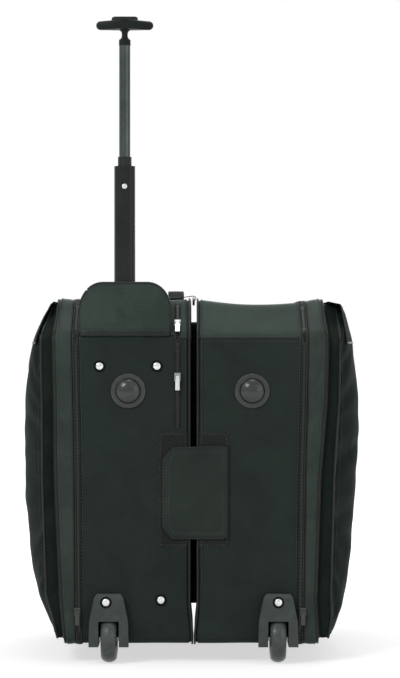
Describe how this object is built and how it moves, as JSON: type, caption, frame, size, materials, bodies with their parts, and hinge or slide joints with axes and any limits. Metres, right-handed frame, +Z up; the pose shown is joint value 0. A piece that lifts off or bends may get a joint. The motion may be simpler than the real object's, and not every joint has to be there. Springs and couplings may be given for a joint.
{
  "type": "rolling laptop case",
  "caption": "Wheeled soft laptop case in two tall compartments side by side, joined at the rear and by a front closure flap, with a telescoping pole.",
  "frame": {"origin": "on the floor, at the middle of the case's outer box seen from above", "axes": "+Z up, +X to the right for someone facing the wheeled side, +Y from the wheeled side to the rear"},
  "size_m": [0.503, 0.372, 0.976],
  "materials": {
    "channel_metal": "mill finish",
    "cloth": "woven ballistic nylon, matt",
    "dark_plastic": "moulded plastic",
    "dome_plastic": "polished moulded plastic",
    "grip_plastic": "satin moulded plastic",
    "hub_plastic": "moulded nylon",
    "lining": "plain woven lining",
    "loop": "brushed loop pile",
    "nylon_plastic": "moulded nylon, fine texture",
    "painted_tube": "black enamelled aluminium",
    "pull_metal": "nickel plated",
    "quilt": "padded woven nylon",
    "rivet_metal": "nickel plated",
    "shoulder_cloth": "woven ballistic nylon, lit shoulder",
    "slider_metal": "gunmetal plate",
    "steel": "zinc plated",
    "tyre": "moulded polyurethane",
    "webbing": "ribbed nylon webbing",
    "zip_tape": "woven zipper tape with coil"
  },
  "bodies": {
    "left_case": {"left_front_panel": "cloth", "left_top_cover": "shoulder_cloth", "left_bottom_panel": "cloth", "left_rear_panel": "cloth", "left_inner_wall": "cloth", "left_lid_zipper": "zip_tape", "front_zipper": "zip_tape", "pole_channel": "channel_metal", "pole_well": "dark_plastic", "pole_top_bracket": "steel", "pole_foot_bracket": "steel", "pole_rivets": "rivet_metal", "hood_pocket": "quilt", "left_dome_foot": "dome_plastic", "left_wheel_housing": "nylon_plastic", "left_axle": "steel", "left_rear_foot": "dark_plastic", "left_loop_patch": "loop", "rear_spine": "cloth", "carry_handle": "webbing"},
    "d_ring": {"d_ring": "steel"},
    "pole_lower": {"lower_tube": "painted_tube", "tube_bush": "dark_plastic", "stop_pin": "rivet_metal"},
    "pole_upper": {"upper_tube": "painted_tube", "grip": "grip_plastic"},
    "button": {"release_button": "dark_plastic", "release_rod": "steel"},
    "left_wheel": {"left_tyre": "tyre", "left_hub": "hub_plastic", "left_bearings": "steel"},
    "right_wheel": {"right_tyre": "tyre", "right_hub": "hub_plastic", "right_bearings": "steel"},
    "right_case": {"right_front_panel": "cloth", "right_top_cover": "shoulder_cloth", "right_bottom_panel": "cloth", "right_rear_panel": "cloth", "right_inner_wall": "cloth", "right_lid_zipper": "zip_tape", "right_dome_foot": "dome_plastic", "right_wheel_housing": "nylon_plastic", "right_axle": "steel", "right_rivet": "rivet_metal", "right_rear_foot": "dark_plastic", "right_loop_patch": "loop", "laptop_divider": "lining"},
    "flap": {"closure_flap": "cloth"},
    "left_lid": {"left_lid": "quilt", "left_pocket": "cloth"},
    "right_lid": {"right_lid": "quilt", "right_pocket": "cloth"},
    "front_slider": {"front_slider": "slider_metal"},
    "front_pull": {"front_pull": "pull_metal"},
    "shoulder_slider": {"shoulder_slider": "slider_metal"},
    "shoulder_pull": {"shoulder_pull": "pull_metal"},
    "left_lid_slider": {"left_lid_slider": "slider_metal"},
    "left_lid_pull": {"left_lid_pull": "pull_metal"},
    "right_lid_slider": {"right_lid_slider": "slider_metal"},
    "right_lid_pull": {"right_lid_pull": "pull_metal"}
  },
  "joints": [
    {"name": "right_case_swing", "type": "hinge", "parent": "left_case", "child": "right_case", "pos_m": [0.0025, 0.186, 0], "axis": [0, 0, 1], "range_deg": [0, 100]},
    {"name": "left_lid_swing", "type": "hinge", "parent": "left_case", "child": "left_lid", "pos_m": [-0.1768, 0.186, 0], "axis": [0, 0, -1], "range_deg": [0, 100]},
    {"name": "right_lid_swing", "type": "hinge", "parent": "right_case", "child": "right_lid", "pos_m": [0.1718, 0.186, 0], "axis": [0, 0, 1], "range_deg": [0, 100]},
    {"name": "flap_swing", "type": "hinge", "parent": "right_case", "child": "flap", "pos_m": [0.054, -0.1665, 0], "axis": [0, 0, 1], "range_deg": [0, 165]},
    {"name": "left_wheel_spin", "type": "hinge", "parent": "left_case", "child": "left_wheel", "pos_m": [-0.1245, -0.15, 0.036], "axis": [1, 0, 0], "continuous": true},
    {"name": "right_wheel_spin", "type": "hinge", "parent": "right_case", "child": "right_wheel", "pos_m": [0.1295, -0.15, 0.036], "axis": [1, 0, 0], "continuous": true},
    {"name": "lower_tube_slide", "type": "slide", "parent": "left_case", "child": "pole_lower", "axis": [0, 0, 1], "range_m": [-0.228, 0]},
    {"name": "upper_tube_slide", "type": "slide", "parent": "pole_lower", "child": "pole_upper", "axis": [0, 0, 1], "range_m": [-0.164, 0]},
    {"name": "button_press", "type": "slide", "parent": "pole_upper", "child": "button", "axis": [0, 0, -1], "range_m": [0, 0.0035], "stiffness_N_per_m": 500, "springref_m": -0.001},
    {"name": "ring_swing", "type": "hinge", "parent": "left_case", "child": "d_ring", "pos_m": [0.0025, -0.092, 0.549], "axis": [0, 1, 0], "range_deg": [-7, 7]},
    {"name": "shoulder_slider_run", "type": "slide", "parent": "left_case", "child": "shoulder_slider", "axis": [0, 0.6727, 0.7399], "range_m": [-0.002, 0.03]},
    {"name": "front_slider_run", "type": "slide", "parent": "left_case", "child": "front_slider", "axis": [0, 0, 1], "range_m": [-0.045, 0.035]},
    {"name": "left_lid_slider_run", "type": "slide", "parent": "left_case", "child": "left_lid_slider", "axis": [0, 0, 1], "range_m": [0, 0.38]},
    {"name": "right_lid_slider_run", "type": "slide", "parent": "right_case", "child": "right_lid_slider", "axis": [0, 0, 1], "range_m": [0, 0.38]},
    {"name": "shoulder_pull_swing", "type": "hinge", "parent": "shoulder_slider", "child": "shoulder_pull", "pos_m": [-0.0215, -0.15382, 0.51297], "axis": [-1, 0, 0], "range_deg": [0, 120]},
    {"name": "front_pull_swing", "type": "hinge", "parent": "front_slider", "child": "front_pull", "pos_m": [-0.0215, -0.1699, 0.43], "axis": [-1, 0, 0], "range_deg": [0, 120]},
    {"name": "left_lid_pull_swing", "type": "hinge", "parent": "left_lid_slider", "child": "left_lid_pull", "pos_m": [-0.1717, -0.1699, 0.078], "axis": [-1, 0, 0], "range_deg": [0, 120]},
    {"name": "right_lid_pull_swing", "type": "hinge", "parent": "right_lid_slider", "child": "right_lid_pull", "pos_m": [0.1667, -0.1699, 0.078], "axis": [-1, 0, 0], "range_deg": [0, 120]}
  ]
}
